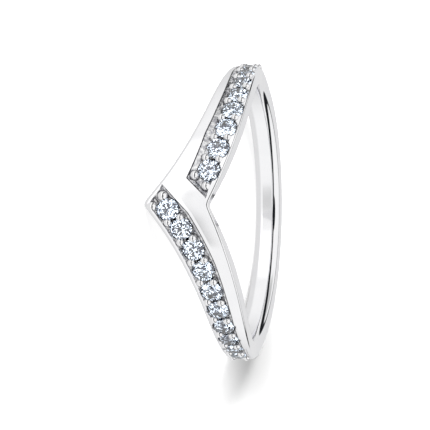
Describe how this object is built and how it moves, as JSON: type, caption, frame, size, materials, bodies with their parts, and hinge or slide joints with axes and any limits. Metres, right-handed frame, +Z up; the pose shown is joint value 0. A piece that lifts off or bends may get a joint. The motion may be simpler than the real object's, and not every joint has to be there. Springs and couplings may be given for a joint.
{
  "type": "chevron ring",
  "caption": "Polished wishbone ring whose two arms cross at a V point, each with a channel of bead-set round brilliants beside a plain ribbon.",
  "frame": {"origin": "middle of the laid ring's box, on the surface it lies on", "axes": "+Z up from that surface, +X towards the chevron's point, +Y across the finger hole, towards the lower arm"},
  "size_m": [0.021, 0.0201, 0.0057],
  "materials": {
    "white_gold": "mirror polished",
    "diamond": "clear, faceted and polished"
  },
  "bodies": {
    "root": {"band": "white_gold", "stone_lower_1": "diamond", "stone_lower_2": "diamond", "stone_lower_3": "diamond", "stone_lower_4": "diamond", "stone_lower_5": "diamond", "stone_lower_6": "diamond", "stone_lower_7": "diamond", "stone_lower_8": "diamond", "stone_lower_9": "diamond", "stone_lower_10": "diamond", "stone_upper_1": "diamond", "stone_upper_2": "diamond", "stone_upper_3": "diamond", "stone_upper_4": "diamond", "stone_upper_5": "diamond", "stone_upper_6": "diamond", "stone_upper_7": "diamond", "stone_upper_8": "diamond", "stone_upper_9": "diamond"}
  },
  "joints": []
}
